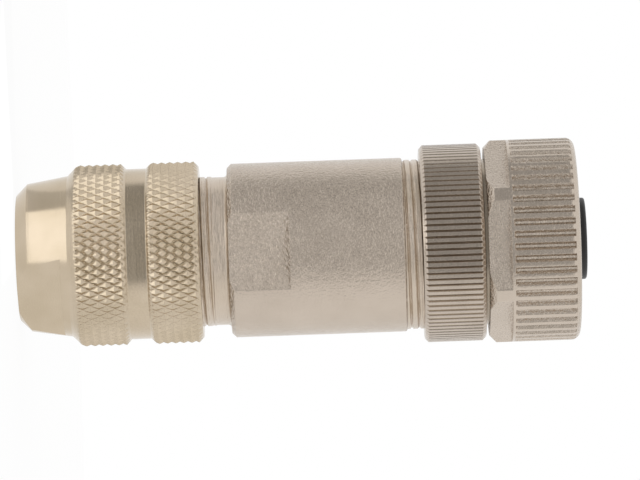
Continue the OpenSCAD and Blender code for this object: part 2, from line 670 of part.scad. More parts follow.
// Contact: a turned brass socket with slotted spring tines and a screw barrel for the wire
module contact(i) {
    tine_slot = 0.25;
    tine_len = 5;
    pin_hole_len = 6;
    color("#c8a552") at_contact(i) difference() {
        union() {
            translate([0, 0, z_barrel]) cylinder(r = barrel_r, h = barrel_len, $fn = small_fn);
            translate([0, 0, z_barrel]) cylinder(r = stem_r, h = z_socket_end - z_barrel, $fn = small_fn);
        }
        translate([0, 0, z_barrel - over]) cylinder(r = wire_d / 2, h = over + wire_hole_len, $fn = small_fn);
        translate([0, 0, z_socket_end - pin_hole_len])
            cylinder(r = pin_d / 2, h = pin_hole_len + over, $fn = small_fn);
        translate([-barrel_d, -tine_slot / 2, z_socket_end - tine_len])
            cube([2 * barrel_d, tine_slot, tine_len + over]);
        translate([0, 0, z_terminal_screw]) rotate([0, 90, 0])
            cylinder(r = terminal_screw_r + fit_play, h = barrel_d, $fn = small_fn);
    }
}

// Terminal screws: slotted grub screws that clamp the wires in the barrels
module terminal_screws() {
    tip = wire_d / 2 + hole_play;
    screw_len = block_r - block_chamfer - contact_r - tip;
    slot_w = 0.4;
    slot_depth = 0.6;
    color("#9a9a98") for (i = [0:contacts - 1]) at_contact(i)
        translate([0, 0, z_terminal_screw]) rotate([0, 90, 0]) difference() {
            translate([0, 0, tip]) cylinder(d = terminal_screw_d, h = screw_len, $fn = small_fn);
            translate([-terminal_screw_d, -slot_w / 2, tip + screw_len - slot_depth])
                cube([2 * terminal_screw_d, slot_w, slot_depth + over]);
        }
}

pressing_screw();
pinch_ring();
cable_seal();
thrust_washer();
shield_ring();
housing_sleeve();
housing_o_ring();
threaded_ring();
insert_holder();
snap_ring();
coupling_nut();
face_seal();
carrier_seal();
contact_carrier();
terminal_block();
contact(0);  // contact_1
contact(1);  // contact_2
contact(2);  // contact_3
contact(3);  // contact_4
terminal_screws();
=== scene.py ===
import math
from collections import namedtuple

import bpy
import numpy as np
from mathutils import Matrix, Vector


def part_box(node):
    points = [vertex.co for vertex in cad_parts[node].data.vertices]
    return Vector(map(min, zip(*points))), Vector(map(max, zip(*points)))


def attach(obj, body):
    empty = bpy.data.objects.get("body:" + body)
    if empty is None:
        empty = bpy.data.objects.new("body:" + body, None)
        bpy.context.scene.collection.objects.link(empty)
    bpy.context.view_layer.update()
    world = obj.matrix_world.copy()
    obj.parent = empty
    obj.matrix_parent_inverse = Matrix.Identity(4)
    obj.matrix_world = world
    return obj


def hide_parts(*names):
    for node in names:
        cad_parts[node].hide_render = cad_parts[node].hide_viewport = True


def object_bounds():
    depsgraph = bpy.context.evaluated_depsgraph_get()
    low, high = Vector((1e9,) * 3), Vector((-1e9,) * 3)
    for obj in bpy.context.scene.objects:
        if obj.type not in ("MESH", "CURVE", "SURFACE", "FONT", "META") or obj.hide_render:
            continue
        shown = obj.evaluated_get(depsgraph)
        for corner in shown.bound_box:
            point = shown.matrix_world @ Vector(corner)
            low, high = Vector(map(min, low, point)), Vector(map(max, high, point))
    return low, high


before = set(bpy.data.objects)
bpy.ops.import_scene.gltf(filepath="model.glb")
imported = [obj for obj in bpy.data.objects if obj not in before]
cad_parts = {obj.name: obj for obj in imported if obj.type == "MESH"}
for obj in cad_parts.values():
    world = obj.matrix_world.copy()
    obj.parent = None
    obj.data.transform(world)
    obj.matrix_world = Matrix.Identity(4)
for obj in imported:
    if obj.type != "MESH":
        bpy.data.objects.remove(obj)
cad_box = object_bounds()

# ---------------------------------------------------------------------------
# Table, light and camera
# The connector stands on its cable end on a small white table in a white studio that is darker in front.
# One soft box lights its flank, two sheets on the table light and shade its cone, and the camera looks
# straight at its side.
# ---------------------------------------------------------------------------
MM = 0.001
white = 1.0
table_glow = 0.93
gap_grey = 0.36
flank_white = 0.95
camera_distance = 0.5
camera_lens = 284
camera_roll = math.radians(2.04)
aim_side = -0.74 * MM
aim_height = 0.532 * (cad_box[1].z - cad_box[0].z)


def new_shader(material_name):
    """A material whose node tree is still empty."""
    material = bpy.data.materials.new(material_name)
    material.use_nodes = True
    material.node_tree.nodes.clear()
    return material


def put(tree, kind, inputs=(), **settings):
    """Adds a node, sets its options and fills its sockets with values or with other nodes' outputs."""
    node = tree.nodes.new(kind)
    for option, value in settings.items():
        setattr(node, option, value)
    for socket, value in dict(inputs).items():
        if isinstance(value, bpy.types.NodeSocket):
            tree.links.new(value, node.inputs[socket])
        else:
            node.inputs[socket].default_value = value
    return node


def seen_directly(tree):
    """One for rays from the camera and for mirror and glass rays, nought for the light itself."""
    path = put(tree, "ShaderNodeLightPath")
    first = put(tree, "ShaderNodeMath", {0: path.outputs["Is Camera Ray"], 1: path.outputs["Is Glossy Ray"]},
                operation="MAXIMUM")
    return put(tree, "ShaderNodeMath", {0: first.outputs[0], 1: path.outputs["Is Transmission Ray"]},
               operation="MAXIMUM").outputs[0]


table_paint = new_shader("table_white")
tree = table_paint.node_tree
matt = put(tree, "ShaderNodeBsdfDiffuse", {"Color": (0.86, 0.86, 0.85, 1)})
glow = put(tree, "ShaderNodeEmission", {"Color": (1, 1, 1, 1), "Strength": white})
veil = put(tree, "ShaderNodeMath", {0: seen_directly(tree), 1: table_glow}, operation="MULTIPLY")
blend = put(tree, "ShaderNodeMixShader", {0: veil.outputs[0], 1: matt.outputs[0], 2: glow.outputs[0]})
put(tree, "ShaderNodeOutputMaterial", {"Surface": blend.outputs[0]})

table_radius = 0.12
table_mesh = bpy.data.meshes.new("table")
rim = [(table_radius * math.cos(a), table_radius * math.sin(a), cad_box[0].z)
       for a in np.linspace(0, 2 * math.pi, 96, endpoint=False)]
table_mesh.from_pydata(rim, [], [list(range(len(rim)))])
table_mesh.materials.append(table_paint)
table = bpy.data.objects.new("table", table_mesh)
bpy.context.scene.collection.objects.link(table)

studio = bpy.data.worlds.new("studio")
studio.use_nodes = True
studio.node_tree.nodes.clear()
tree = studio.node_tree
path = put(tree, "ShaderNodeLightPath")
heading = put(tree, "ShaderNodeSeparateXYZ", {0: put(tree, "ShaderNodeTexCoord").outputs["Generated"]})
slant = put(tree, "ShaderNodeMath", {0: heading.outputs["Z"]}, operation="ABSOLUTE")
gap = put(tree, "ShaderNodeMapRange", {"Value": slant.outputs[0], "From Min": 0.06, "From Max": 0.30,
                                       "To Min": gap_grey, "To Max": white}, interpolation_type="SMOOTHSTEP")
flank = put(tree, "ShaderNodeMapRange", {"Value": heading.outputs["X"], "From Min": 0.35, "From Max": 0.85,
                                         "To Max": flank_white}, interpolation_type="SMOOTHSTEP")
behind = put(tree, "ShaderNodeMapRange", {"Value": heading.outputs["Y"], "From Min": 0.08, "From Max": 0.50,
                                          "To Max": white}, interpolation_type="SMOOTHSTEP")
sides = put(tree, "ShaderNodeMath", {0: gap.outputs[0], 1: flank.outputs[0]}, operation="MAXIMUM")
around = put(tree, "ShaderNodeMath", {0: sides.outputs[0], 1: behind.outputs[0]}, operation="MAXIMUM")
level = put(tree, "ShaderNodeMix", {0: path.outputs["Is Camera Ray"], 2: around.outputs[0], 3: white})
shell = put(tree, "ShaderNodeBackground", {"Color": (1, 1, 1, 1), "Strength": level.outputs[0]})
put(tree, "ShaderNodeOutputWorld", {"Surface": shell.outputs[0]})
bpy.context.scene.world = studio


def soft_box(name, direction, distance, size, power):
    """A rectangular studio lamp at that distance from the middle of the connector, facing it."""
    lamp = bpy.data.lights.new(name, "AREA")
    lamp.shape = "RECTANGLE"
    lamp.size, lamp.size_y = size
    lamp.energy = power
    holder = bpy.data.objects.new(name, lamp)
    bpy.context.scene.collection.objects.link(holder)
    away = Vector(direction).normalized()
    holder.location = Vector((0, 0, aim_height)) + away * distance
    holder.rotation_mode = "QUATERNION"
    holder.rotation_quaternion = away.to_track_quat("Z", "Y")
    holder.visible_camera = False


soft_box("flank_light", direction=(1.0, -0.22, 0.05), distance=0.6, size=(1.0, 0.9), power=0.2)

sheet_near_r = 9.4 * MM
sheet_far_r = 28 * MM
sheet_height = 0.2 * MM
sheet_points = 12


def table_sheet(name, strength, near_turn, far_turn):
    """A sheet of even light on the table, between two arcs round the connector. Its ends lie at other
    angles near the connector than far from it, given in degrees."""
    glow = new_shader(name + "_glow")
    light = put(glow.node_tree, "ShaderNodeEmission", {"Strength": strength})
    put(glow.node_tree, "ShaderNodeOutputMaterial", {"Surface": light.outputs[0]})
    edge = [(sheet_near_r, a) for a in np.radians(np.linspace(*near_turn, sheet_points))]
    edge += [(sheet_far_r, a) for a in np.radians(np.linspace(*far_turn, sheet_points))][::-1]
    mesh = bpy.data.meshes.new(name)
    mesh.from_pydata([(r * math.cos(a), r * math.sin(a), sheet_height) for r, a in edge], [],
                     [list(range(len(edge)))])
    mesh.materials.append(glow)
    sheet = bpy.data.objects.new(name, mesh)
    bpy.context.scene.collection.objects.link(sheet)
    sheet.visible_camera = False


# The bright sheet puts the long highlight on the cone, and the grey card darkens the cone above it.
table_sheet("light_sheet", 1.62, (-138, -85), (-156, -85))
table_sheet("grey_card", 0.70, (-185, -138), (-185, -156))

camera = bpy.data.cameras.new("camera")
camera.lens = camera_lens
camera_holder = bpy.data.objects.new("camera", camera)
bpy.context.scene.collection.objects.link(camera_holder)
right = Vector((math.sin(camera_roll), 0, math.cos(camera_roll)))
upward = Vector((-math.cos(camera_roll), 0, math.sin(camera_roll)))
backward = Vector((0, -1, 0))
place = Matrix.Translation(Vector((aim_side, 0, aim_height)) + backward * camera_distance)
camera_holder.matrix_world = place @ Matrix((right, upward, backward)).transposed().to_4x4()
bpy.context.scene.camera = camera_holder
bpy.context.scene.view_settings.view_transform = "Standard"

# ---------------------------------------------------------------------------
# Pressing screw
# Turned from brass bar and given a pale champagne nickel. Two bands are diamond-knurled, their edges
# chamfered after the knurling, and two spanner flats are milled on the cone at the cable end.
# ---------------------------------------------------------------------------
screw_low, screw_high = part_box("pressing_screw")
screw_end_r = 6.2 * MM
screw_end_chamfer = 1.1 * MM
screw_cone_len = 4.0 * MM
screw_cone_r = 7.95 * MM
band_r = (screw_high.x - screw_low.x) / 2
band_1_end = 10.37 * MM
band_2_start = 13.41 * MM
groove_r = 8.43 * MM
lip_chamfer = 0.5 * MM
entry_r = 4.3 * MM
seat_r = 6.3 * MM
screw_bore_r = 7.45 * MM
seat_from, seat_to = 5.015 * MM, 7.315 * MM
bore_from = 8.015 * MM
screw_flat_af = 12.0 * MM
screw_flat_len = 4.4 * MM
screw_flat_turn = math.radians(-48)
knurl_starts = 62
knurl_len = 1.6 * MM
knurl_depth = 0.32 * MM


def eased(points, radius):
    """A profile whose corners are rounded by a small radius, as tumbling and plating leave them."""
    steps = 4
    out = []
    count = len(points)
    for i, point in enumerate(points):
        here = Vector(point)
        before = Vector(points[i - 1]) - here
        after = Vector(points[(i + 1) % count]) - here
        bend = before.angle(-after) if before.length and after.length else 0
        reach = min(radius * math.tan(bend / 2), before.length * 0.45, after.length * 0.45)
        if bend < 0.02:
            out.append((here.x, here.y))
            continue
        start, end = here + before.normalized() * reach, here + after.normalized() * reach
        for k in range(steps + 1):
            t = k / steps
            q = start * (1 - t) ** 2 + here * 2 * t * (1 - t) + end * t ** 2
            out.append((q.x, q.y))
    return out


def finely(points, step, from_z, to_z, beyond):
    """The same profile with rows of points at even heights, on the stretch of its outside that gets cut."""
    margin = 0.002 * MM
    levels = from_z + step * np.arange(int((to_z - from_z) / step + 1.5))
    out = []
    for a, b in zip(points, points[1:] + points[:1]):
        out.append(a)
        rise = b[1] - a[1]
        low, high = min(a[1], b[1]) + margin, max(a[1], b[1]) - margin
        if min(a[0], b[0]) > beyond and high > low:
            rows = [level for level in levels if low < level < high]
            rows = rows if rise > 0 else rows[::-1]
            out += [(a[0] + (b[0] - a[0]) * (level - a[1]) / rise, level) for level in rows]
    return out


def turned(name, profile, columns, leaning=None):
    """A closed ring, turned from a closed profile of (radius, height) points. Where a leaning is given,
    it says for a cell's height and column which of its diagonals is a crease."""
    profile = [p for i, p in enumerate(profile) if math.dist(p, profile[i - 1]) > 1e-7]
    angles = np.arange(columns) * (2 * math.pi / columns)
    radii = np.array([p[0] for p in profile])
    heights = np.array([p[1] for p in profile])
    grid = np.stack([np.outer(radii, np.cos(angles)), np.outer(radii, np.sin(angles)),
                     np.repeat(heights[:, None], columns, axis=1)], axis=-1).reshape(-1, 3)
    rows = len(profile)
    faces = []
    for i in range(rows):
        up = (i + 1) % rows
        for j in range(columns):
            a, b = i * columns + j, i * columns + (j + 1) % columns
            d, c = up * columns + j, up * columns + (j + 1) % columns
            lean = leaning(profile[i][1], j) if leaning else None
            if lean is None:
                faces.append((a, b, c, d))
            else:
                faces += [(a, b, d), (b, c, d)] if lean else [(a, b, c), (a, c, d)]
    mesh = bpy.data.meshes.new(name)
    mesh.from_pydata(grid.tolist(), [], faces)
    mesh.update()
    piece = bpy.data.objects.new(name, mesh)
    bpy.context.scene.collection.objects.link(piece)
    return piece


def box_cutter(name, low, high, turn):
    """A block between two corners, turned about the axis."""
    corners = [(x, y, z) for z in (low[2], high[2]) for y in (low[1], high[1]) for x in (low[0], high[0])]
    faces = [(0, 2, 3, 1), (4, 5, 7, 6), (0, 1, 5, 4), (2, 6, 7, 3), (0, 4, 6, 2), (1, 3, 7, 5)]
    mesh = bpy.data.meshes.new(name)
    mesh.from_pydata([Matrix.Rotation(turn, 3, "Z") @ Vector(c) for c in corners], [], faces)
    block = bpy.data.objects.new(name, mesh)
    bpy.context.scene.collection.objects.link(block)
    return block


def baked(piece):
    """Turns what a piece's modifiers make into its plain mesh and takes the modifiers off."""
    depsgraph = bpy.context.evaluated_depsgraph_get()
    old = piece.data
    made = bpy.data.meshes.new_from_object(piece.evaluated_get(depsgraph))
    piece.modifiers.clear()
    piece.data = made
    made.name = piece.name
    bpy.data.meshes.remove(old)


def milled(piece, cutters):
    """Cuts blocks out of a piece and throws the blocks away."""
    for block in cutters:
        cut = piece.modifiers.new("cut", "BOOLEAN")
        cut.operation = "DIFFERENCE"
        cut.solver = "EXACT"
        cut.object = block
        baked(piece)
        bpy.data.objects.remove(block)


def flats(across, reach, from_z, to_z, turn, count=2):
    """Blocks that stand outside parallel flats."""
    return [box_cutter("flat", (across / 2, -reach, from_z), (across / 2 + reach, reach, to_z),
                       turn + i * 2 * math.pi / count) for i in range(count)]


def new_cutting_tree(name, sizes):
    """A Geometry Nodes tree with a turned blank and a metal going in, and named sizes beside them."""
    tree = bpy.data.node_groups.new(name, "GeometryNodeTree")
    tree.interface.new_socket("Blank", in_out="INPUT", socket_type="NodeSocketGeometry")
    for size in sizes:
        tree.interface.new_socket(size, in_out="INPUT", socket_type="NodeSocketFloat")
    tree.interface.new_socket("Metal", in_out="INPUT", socket_type="NodeSocketMaterial")
    tree.interface.new_socket("Piece", in_out="OUTPUT", socket_type="NodeSocketGeometry")
    return tree, put(tree, "NodeGroupInput")


def sums(tree):
    """A short way to write sums in a node tree: each call adds one Math node and gives its result."""
    def work_out(operation, *values):
        return put(tree, "ShaderNodeMath", enumerate(values), operation=operation).outputs[0]
    return work_out


def polar(tree):
    """The radius, the angle, and the x, y and height of each point."""
    place = put(tree, "ShaderNodeSeparateXYZ", {0: put(tree, "GeometryNodeInputPosition").outputs[0]})
    x, y, z = place.outputs
    math_of = sums(tree)
    radius = math_of("SQRT", math_of("ADD", math_of("MULTIPLY", x, x), math_of("MULTIPLY", y, y)))
    return radius, math_of("ARCTAN2", y, x), x, y, z


def end_cutting_tree(tree, given, new_radius, where):
    """Moves the chosen points to their new radius, then realises the piece and gives it its metal."""
    math_of = sums(tree)
    radius, _, x, y, z = polar(tree)
    share = math_of("DIVIDE", new_radius, math_of("MAXIMUM", radius, 0.1 * MM))
    moved = put(tree, "ShaderNodeCombineXYZ", {0: math_of("MULTIPLY", x, share),
                                               1: math_of("MULTIPLY", y, share), 2: z})
    cut = put(tree, "GeometryNodeSetPosition", {"Geometry": given.outputs["Blank"], "Selection": where,
                                                "Position": moved.outputs[0]})
    whole = put(tree, "GeometryNodeRealizeInstances", {0: cut.outputs[0]})
    coated = put(tree, "GeometryNodeSetMaterial", {"Geometry": whole.outputs[0],
                                                   "Material": given.outputs["Metal"]})
    put(tree, "NodeGroupOutput", {0: coated.outputs[0]})


def within(tree, value, low, high):
    """One where a value lies between two limits."""
    math_of = sums(tree)
    return math_of("MULTIPLY", math_of("GREATER_THAN", value, low), math_of("LESS_THAN", value, high))


def knurl_tree():
    """Two crossed sets of V grooves round a band, which leave rows of pyramids with worn tips."""
    worn_at = 0.93
    tree, given = new_cutting_tree("diamond_knurl", ["Tip radius", "Depth", "Starts", "Diamond length",
                                                     "Rounding", "From", "To"])
    math_of = sums(tree)
    radius, angle, _, _, z = polar(tree)
    size = given.outputs
    round_turn = math_of("MULTIPLY", angle, math_of("DIVIDE", size["Starts"], 2 * math.pi))
    along = math_of("DIVIDE", math_of("SUBTRACT", z, size["From"]), size["Diamond length"])
    heights = []
    for crossing in ("ADD", "SUBTRACT"):
        phase = math_of("FRACT", math_of("ADD", math_of(crossing, round_turn, along), 100))
        heights.append(math_of("MULTIPLY", math_of("ABSOLUTE", math_of("SUBTRACT", phase, 0.5)), 2))
    pyramid = math_of("SMOOTH_MIN", heights[0], heights[1], size["Rounding"])
    worn = math_of("SMOOTH_MIN", pyramid, worn_at, size["Rounding"])
    floor_r = math_of("SUBTRACT", size["Tip radius"], size["Depth"])
    knurled = math_of("ADD", floor_r, math_of("MULTIPLY", size["Depth"], math_of("DIVIDE", worn, worn_at)))
    outside = math_of("GREATER_THAN", radius, math_of("SUBTRACT", floor_r, 0.3 * MM))
    where = math_of("MULTIPLY", within(tree, z, size["From"], size["To"]), outside)
    end_cutting_tree(tree, given, math_of("MINIMUM", radius, knurled), where)
    return tree


def worked(piece, tree, metal, sizes):
    """Runs a cutting tree on a piece and keeps the result as a plain mesh."""
    cut = piece.modifiers.new("cutting", "NODES")
    cut.node_group = tree
    for item in tree.interface.items_tree:
        if item.in_out == "INPUT" and item.name in sizes:
            cut[item.identifier] = sizes[item.name]
        if item.in_out == "INPUT" and item.name == "Metal":
            cut[item.identifier] = metal
    baked(piece)


def finished(piece, metal, body, nodes):
    """Gives a piece its metal and shading and puts it on its body in place of its solid."""
    sharp_edge = math.radians(23)
    mesh = piece.data
    mesh.materials.clear()
    mesh.materials.append(metal)
    mesh.shade_smooth()
    mesh.set_sharp_from_angle(angle=sharp_edge)
    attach(piece, body)
    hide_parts(*nodes)


# The last field of a finish is how much painted shade darkens the low spots of its grain.
Finish = namedtuple("Finish", "mark_depth mark_size grain_depth grain_size roughness pits")


def plating(name, colour, dull, skin, under=None, skin_r=0.0, edge=0.05 * MM):
    """Plated metal, duller in patches. A finish says how deep and how wide its lathe marks and its grain
    are, how rough it is and how much painted shade darkens the low spots of its grain. Surfaces machined
    under the skin's radius can have a finish of their own."""
    under = under or skin
    material = new_shader(name)
    tree = material.node_tree
    math_of = sums(tree)
    place = put(tree, "ShaderNodeTexCoord").outputs["Object"]
    x, y, z = put(tree, "ShaderNodeSeparateXYZ", {0: place}).outputs
    flat = put(tree, "ShaderNodeCombineXYZ", {0: x, 1: y})
    radius = put(tree, "ShaderNodeVectorMath", {0: flat.outputs[0]}, operation="LENGTH").outputs["Value"]
    below = math_of("LESS_THAN", radius, skin_r)
    drift = put(tree, "ShaderNodeVectorMath", {0: place, 1: (0.02, 0.02, 0.0)}, operation="MULTIPLY")
    rings = put(tree, "ShaderNodeCombineXYZ", {0: radius, 1: math_of("MULTIPLY", radius, 0.3), 2: z})
    lathe = put(tree, "ShaderNodeVectorMath", {0: rings.outputs[0], 1: drift.outputs[0]}, operation="ADD")

    def either(outer, inner):
        if outer == inner:
            return outer
        return put(tree, "ShaderNodeMix", {0: below, 2: outer, 3: inner}).outputs[0]

    marks = put(tree, "ShaderNodeTexNoise", {"Vector": lathe.outputs[0], "Detail": 3.0, "Roughness": 0.6,
                                             "Scale": either(1 / skin.mark_size, 1 / under.mark_size)})
    grain = put(tree, "ShaderNodeTexNoise", {"Vector": place, "Detail": 2.5, "Roughness": 0.6,
                                             "Scale": either(1 / skin.grain_size, 1 / under.grain_size)})
    cloud = put(tree, "ShaderNodeTexNoise", {"Vector": place, "Scale": 260.0, "Detail": 2.0})
    stain = put(tree, "ShaderNodeMapRange", {"Value": cloud.outputs["Fac"], "From Min": 0.35,
                                             "From Max": 0.7})
    tint = put(tree, "ShaderNodeMix", {0: stain.outputs[0], 6: (*colour, 1), 7: (*dull, 1)}, data_type="RGBA")
    # Painted shade: the low spots of the grain are darkened towards near black, as if shaded in their
    # hollows.
    painted_pit_shade = math_of("MULTIPLY", math_of("SUBTRACT", 0.62, grain.outputs["Fac"]), either(skin.pits, under.pits))
    pit_shaded_tint = put(tree, "ShaderNodeMix", {0: math_of("MAXIMUM", painted_pit_shade, 0), 6: tint.outputs[2],
                                         7: (0.05, 0.04, 0.03, 1)}, data_type="RGBA")
    swing = 0.10
    base = either(skin.roughness - swing, under.roughness - swing)
    sheen = math_of("ADD", math_of("MULTIPLY", grain.outputs["Fac"], swing),
                    math_of("ADD", math_of("MULTIPLY", marks.outputs["Fac"], swing), base))
    rounded = put(tree, "ShaderNodeBevel", {"Radius": edge}, samples=4)
    scratched = put(tree, "ShaderNodeBump", {"Height": marks.outputs["Fac"], "Strength": 1.0,
                                             "Distance": either(skin.mark_depth, under.mark_depth),
                                             "Normal": rounded.outputs[0]})
    grained = put(tree, "ShaderNodeBump", {"Height": grain.outputs["Fac"], "Strength": 1.0,
                                           "Distance": either(skin.grain_depth, under.grain_depth),
                                           "Normal": scratched.outputs[0]})
    metal = put(tree, "ShaderNodeBsdfPrincipled", {"Base Color": pit_shaded_tint.outputs[2], "Metallic": 1.0,
                                                   "Roughness": sheen, "Normal": grained.outputs[0]})
    put(tree, "ShaderNodeOutputMaterial", {"Surface": metal.outputs[0]})
    return material


champagne = plating("champagne_nickel", (0.59, 0.494, 0.373), (0.53, 0.44, 0.32),
                    skin=Finish(0.005 * MM, 0.11 * MM, 0.003 * MM, 0.2 * MM, 0.18, pits=0.25),
                    under=Finish(0.014 * MM, 0.12 * MM, 0.001 * MM, 0.12 * MM, 0.17, pits=0.0),
                    skin_r=8.3 * MM)

outline = [(entry_r + lip_chamfer, 0), (screw_end_r, 0), (screw_end_r + screw_end_chamfer, screw_end_chamfer),
           (screw_cone_r, screw_end_chamfer + screw_cone_len),
           (band_r, screw_end_chamfer + screw_cone_len + band_r - screw_cone_r)]
z_band = outline[-1][1]
outline += [(band_r, band_1_end), (groove_r, band_1_end + band_r - groove_r),
            (groove_r, band_2_start - (band_r - groove_r)), (band_r, band_2_start),
            (band_r, screw_high.z - lip_chamfer), (band_r - lip_chamfer, screw_high.z),
            (screw_bore_r, screw_high.z), (screw_bore_r, bore_from), (seat_r, bore_from), (seat_r, seat_to),
            (entry_r, seat_from), (entry_r, lip_chamfer)]
knurl_from = z_band - 0.5 * MM
knurl_cells = 10
row = knurl_len / knurl_cells


def knurl_creases(height, column):
    """The diagonal of each cell that a groove follows, or none below the knurls."""
    level = round((height - knurl_from) / row)
    return (level + column + 1) % knurl_cells == 0 if level > -2 else None


outline = finely(eased(outline, 0.07 * MM), row, knurl_from, screw_high.z, beyond=groove_r - 0.6 * MM)
pressing_screw = turned("pressing_screw_turned", outline, knurl_starts * knurl_cells, knurl_creases)
milled(pressing_screw, flats(screw_flat_af, band_r * 1.2, -MM, screw_flat_len, screw_flat_turn))
worked(pressing_screw, knurl_tree(), champagne,
       {"Tip radius": band_r, "Depth": knurl_depth, "Starts": knurl_starts, "Diamond length": knurl_len,
        "Rounding": 0.12, "From": knurl_from, "To": screw_high.z - 0.02 * MM})
finished(pressing_screw, champagne, "pressing_screw", ["pressing_screw"])

# ---------------------------------------------------------------------------
# Housing sleeve
# A die-cast body with a fine grain under its nickel. A fine thread is cut at each end, the neck is
# turned plain, and two spanner flats lie next to the shoulder.
# ---------------------------------------------------------------------------
sleeve_low, sleeve_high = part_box("housing_sleeve")
sleeve_r = (sleeve_high.x - sleeve_low.x) / 2
neck_r = 7.315 * MM
gland_thread_r = 7.39 * MM
ring_thread_r = 8.38 * MM
thread_depth = 0.16 * MM
thread_pitch = 0.75 * MM
z_neck, z_shoulder, z_ring_thread = 19.265 * MM, 20.865 * MM, 38.165 * MM
shoulder_chamfer = 0.42 * MM
neck_fillet = 0.4 * MM
sleeve_flat_af = 15.4 * MM
sleeve_flat_len = 6.0 * MM
sleeve_flat_turn = math.radians(-89)
gland_bore_r = 6.2 * MM
braid_seat_r = 5.12 * MM
chamber_r = 6.9 * MM
tail_bore_r = 7.15 * MM
shoulder_edge = 0.12 * MM
thread_end_chamfer = 0.25 * MM
z_bore_end, z_seat_end, z_chamber, z_tail_bore = 20.365 * MM, 22.665 * MM, 24.445 * MM, 36.665 * MM
rows_in_pitch = 18
sleeve_columns = 240


def thread_tree():
    """A helical thread with a flat crest and a narrow V root, cut into a plain cylinder."""
    root_share = 0.22
    tree, given = new_cutting_tree("outside_thread", ["Crest radius", "Depth", "Pitch", "From", "To"])
    math_of = sums(tree)
    radius, angle, _, _, z = polar(tree)
    size = given.outputs
    turns = math_of("SUBTRACT", math_of("DIVIDE", z, size["Pitch"]), math_of("DIVIDE", angle, 2 * math.pi))
    phase = math_of("ABSOLUTE", math_of("SUBTRACT", math_of("FRACT", math_of("ADD", turns, 10)), 0.5))
    root = math_of("SUBTRACT", 1, math_of("DIVIDE", phase, root_share))
    fade = math_of("MULTIPLY", math_of("DIVIDE", math_of("SUBTRACT", size["To"], z), size["Pitch"]), 2)
    full = math_of("MINIMUM", math_of("MAXIMUM", fade, 0), 1)
    depth = math_of("MULTIPLY", math_of("MULTIPLY", size["Depth"], full), math_of("MAXIMUM", root, 0))
    cut_r = math_of("MINIMUM", radius, math_of("SUBTRACT", size["Crest radius"], depth))
    outside = math_of("GREATER_THAN", radius, math_of("SUBTRACT", size["Crest radius"], 0.5 * MM))
    where = math_of("MULTIPLY", within(tree, z, size["From"], size["To"]), outside)
    end_cutting_tree(tree, given, cut_r, where)
    return tree


cast_nickel = plating("cast_nickel", (0.565, 0.487, 0.408), (0.53, 0.455, 0.378),
                      skin=Finish(0.0, 0.2 * MM, 0.085 * MM, 0.26 * MM, 0.22, pits=0.0),
                      under=Finish(0.0, 0.2 * MM, 0.200 * MM, 0.30 * MM, 0.24, pits=0.45),
                      skin_r=sleeve_r - 0.03 * MM, edge=0.08 * MM)
neck_nickel = plating("neck_nickel", (0.60, 0.515, 0.43), (0.56, 0.475, 0.38),
                      skin=Finish(0.060 * MM, 0.12 * MM, 0.006 * MM, 0.14 * MM, 0.24, pits=0.0))

fillet = [(neck_r + neck_fillet * (1 - math.cos(a)), z_shoulder - neck_fillet * (1 - math.sin(a)))
          for a in np.linspace(0, math.pi / 2, 7)]
outline = [(gland_thread_r - thread_depth, sleeve_low.z), (gland_thread_r, sleeve_low.z + thread_depth),
           (gland_thread_r, z_neck), (neck_r, z_neck + gland_thread_r - neck_r)]
outline += fillet
outline += [(sleeve_r - shoulder_chamfer, z_shoulder), (sleeve_r, z_shoulder + shoulder_chamfer),
            (sleeve_r, z_ring_thread - shoulder_edge), (sleeve_r - shoulder_edge, z_ring_thread),
            (ring_thread_r, z_ring_thread), (ring_thread_r, sleeve_high.z - thread_end_chamfer),
            (ring_thread_r - thread_end_chamfer, sleeve_high.z), (tail_bore_r, sleeve_high.z),
            (tail_bore_r, z_tail_bore), (chamber_r, z_tail_bore), (chamber_r, z_chamber),
            (braid_seat_r, z_seat_end), (braid_seat_r, z_bore_end), (gland_bore_r, z_bore_end),
            (gland_bore_r, sleeve_low.z)]
outline = eased(outline, 0.05 * MM)
row = thread_pitch / rows_in_pitch
outline = finely(outline, row, sleeve_low.z, z_neck + 0.1 * MM, beyond=neck_r)
outline = finely(outline, row, z_ring_thread, sleeve_high.z, beyond=ring_thread_r - 0.5 * MM)
housing_sleeve = turned("housing_sleeve_cast", outline, sleeve_columns)
milled(housing_sleeve, flats(sleeve_flat_af, sleeve_r * 1.2, z_shoulder - 0.005 * MM,
                             z_shoulder + sleeve_flat_len, sleeve_flat_turn))
thread = thread_tree()
for crest, start, end in ((gland_thread_r, sleeve_low.z, z_neck),
                          (ring_thread_r, z_ring_thread, sleeve_high.z)):
    worked(housing_sleeve, thread, cast_nickel,
           {"Crest radius": crest, "Depth": thread_depth, "Pitch": thread_pitch, "From": start, "To": end})
finished(housing_sleeve, cast_nickel, "housing", ["housing_sleeve"])
housing_sleeve.data.materials.append(neck_nickel)
for face in housing_sleeve.data.polygons:
    if not z_shoulder - 0.02 * MM < face.center.z < z_ring_thread + 0.02 * MM:
        face.material_index = 1

# ---------------------------------------------------------------------------
# Threaded ring
# A turned brass ring with a straight knurl, rolled before the ends were chamfered. It turns on the
# insert holder and pulls the insert into the sleeve.
# ---------------------------------------------------------------------------
ring_low, ring_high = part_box("threaded_ring")
ring_r = (ring_high.x - ring_low.x) / 2
ring_chamfer = 0.36 * MM
ring_ridges = 102
ring_groove_depth = 0.26 * MM
ring_bore_r = 8.44 * MM
ring_lip_r = 7.4 * MM
ring_lip_t = 1.2 * MM
columns_in_groove = 10


